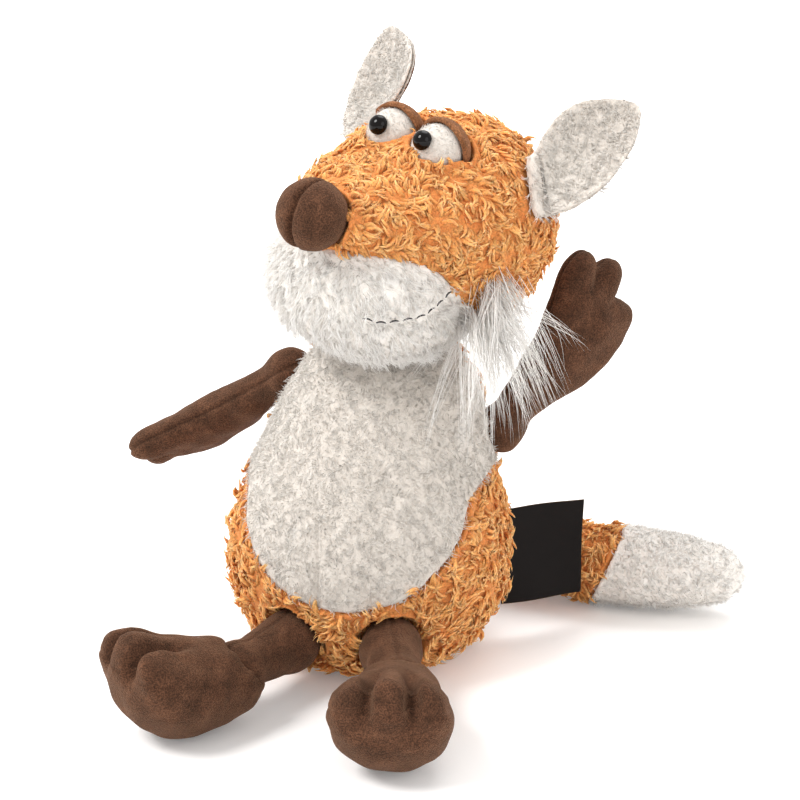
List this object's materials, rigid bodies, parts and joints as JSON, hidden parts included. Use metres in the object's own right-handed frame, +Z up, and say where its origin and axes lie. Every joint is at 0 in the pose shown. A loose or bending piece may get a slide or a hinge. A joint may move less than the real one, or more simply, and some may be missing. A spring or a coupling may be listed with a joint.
{
  "type": "plush fox",
  "caption": "Sitting plush fox with a turned head, a raised arm and a long tail, made of sewn covers over stuffing, with safety eyes.",
  "frame": {"origin": "middle of the flat seat under the body, on the surface that the fox sits on", "axes": "+Z up, the body faces -Y, and the fox's own left is +X"},
  "size_m": [0.3125, 0.2715, 0.2961],
  "materials": {
    "orange_curly_pile": "curly pile",
    "white_pile": "long straight pile",
    "brown_velour": "short velour",
    "stuffing_fibre": "loose fibre",
    "bag_cloth": "plain weave",
    "black_gloss_plastic": "polished",
    "white_plastic": "moulded",
    "black_thread": "twisted thread",
    "black_satin": "satin"
  },
  "bodies": {
    "torso": {"body_cover": "orange_curly_pile", "belly_panel": "white_pile", "body_stuffing": "stuffing_fibre", "pellet_bag": "bag_cloth"},
    "neck": {"neck_stuffing": "stuffing_fibre"},
    "head": {"head_cover": "orange_curly_pile", "head_stuffing": "stuffing_fibre", "muzzle_cover": "white_pile", "nose_cover": "brown_velour", "nose_stuffing": "stuffing_fibre", "mouth_thread": "black_thread", "left_eye_pad": "white_pile", "right_eye_pad": "white_pile", "left_eyelid": "brown_velour", "right_eyelid": "brown_velour", "left_eye_bead": "black_gloss_plastic", "right_eye_bead": "black_gloss_plastic", "left_eye_washer": "white_plastic", "right_eye_washer": "white_plastic", "left_cheek_tuft": "white_pile", "right_cheek_tuft": "white_pile"},
    "left_ear": {"left_ear_back": "brown_velour", "left_ear_front": "white_pile"},
    "right_ear": {"right_ear_back": "brown_velour", "right_ear_front": "white_pile"},
    "left_arm": {"left_arm_cover": "brown_velour", "left_arm_stuffing": "stuffing_fibre"},
    "right_arm": {"right_arm_cover": "brown_velour", "right_arm_stuffing": "stuffing_fibre"},
    "left_leg": {"left_leg_cover": "brown_velour", "left_leg_stuffing": "stuffing_fibre"},
    "right_leg": {"right_leg_cover": "brown_velour", "right_leg_stuffing": "stuffing_fibre"},
    "left_foot": {"left_foot_cover": "brown_velour", "left_foot_stuffing": "stuffing_fibre"},
    "right_foot": {"right_foot_cover": "brown_velour", "right_foot_stuffing": "stuffing_fibre"},
    "tail": {"tail_base_cover": "orange_curly_pile", "tail_tip_cover": "white_pile", "tail_stuffing": "stuffing_fibre"},
    "label": {"label": "black_satin"}
  },
  "joints": [
    {"name": "neck_turn", "type": "hinge", "parent": "torso", "child": "neck", "pos_m": [0.009, 0.003, 0.146], "axis": [0, 0, 1], "range_deg": [-20, 25]},
    {"name": "neck_nod", "type": "hinge", "parent": "neck", "child": "head", "pos_m": [0.009, 0.003, 0.146], "axis": [0.891, -0.454, 0], "range_deg": [-6, 3]},
    {"name": "left_ear_fold", "type": "hinge", "parent": "head", "child": "left_ear", "pos_m": [0.07937, -0.00952, 0.23662], "axis": [0.2016, -0.4951, -0.8451], "range_deg": [-20, 40], "stiffness_Nm_per_rad": 0.03},
    {"name": "right_ear_fold", "type": "hinge", "parent": "head", "child": "right_ear", "pos_m": [-0.00579, 0.03746, 0.25168], "axis": [0.7331, -0.0206, 0.6799], "range_deg": [-20, 40], "stiffness_Nm_per_rad": 0.03},
    {"name": "left_shoulder", "type": "hinge", "parent": "torso", "child": "left_arm", "pos_m": [0.0622, 0.014, 0.112], "axis": [0.9592, 0.2039, 0.1961], "range_deg": [-20, 70]},
    {"name": "right_shoulder", "type": "hinge", "parent": "torso", "child": "right_arm", "pos_m": [-0.0421, 0.0129, 0.1345], "axis": [0.2419, 0.9703, 0], "range_deg": [0, 60]},
    {"name": "left_hip", "type": "hinge", "parent": "torso", "child": "left_leg", "pos_m": [0.022, -0.062, 0.0255], "axis": [-0.9659, -0.2588, 0], "range_deg": [-30, 18]},
    {"name": "right_hip", "type": "hinge", "parent": "torso", "child": "right_leg", "pos_m": [-0.0275, -0.06, 0.025], "axis": [-0.891, 0.454, 0], "range_deg": [-30, 18]},
    {"name": "left_ankle", "type": "hinge", "parent": "left_leg", "child": "left_foot", "pos_m": [0.03158, -0.09774, 0.0255], "axis": [-0.9659, -0.2588, 0], "range_deg": [-20, 30]},
    {"name": "right_ankle", "type": "hinge", "parent": "right_leg", "child": "right_foot", "pos_m": [-0.0443, -0.09297, 0.025], "axis": [-0.891, 0.454, 0], "range_deg": [-20, 30]},
    {"name": "tail_swing", "type": "hinge", "parent": "torso", "child": "tail", "pos_m": [0.004, 0.0665, 0.0226], "axis": [0, 0, 1], "range_deg": [0, 35]},
    {"name": "label_fold", "type": "hinge", "parent": "torso", "child": "label", "pos_m": [0.06506, 0.02368, 0.04], "axis": [-0.0819, -0.0298, 0.9962], "range_deg": [-24, 8], "stiffness_Nm_per_rad": 0.002}
  ]
}
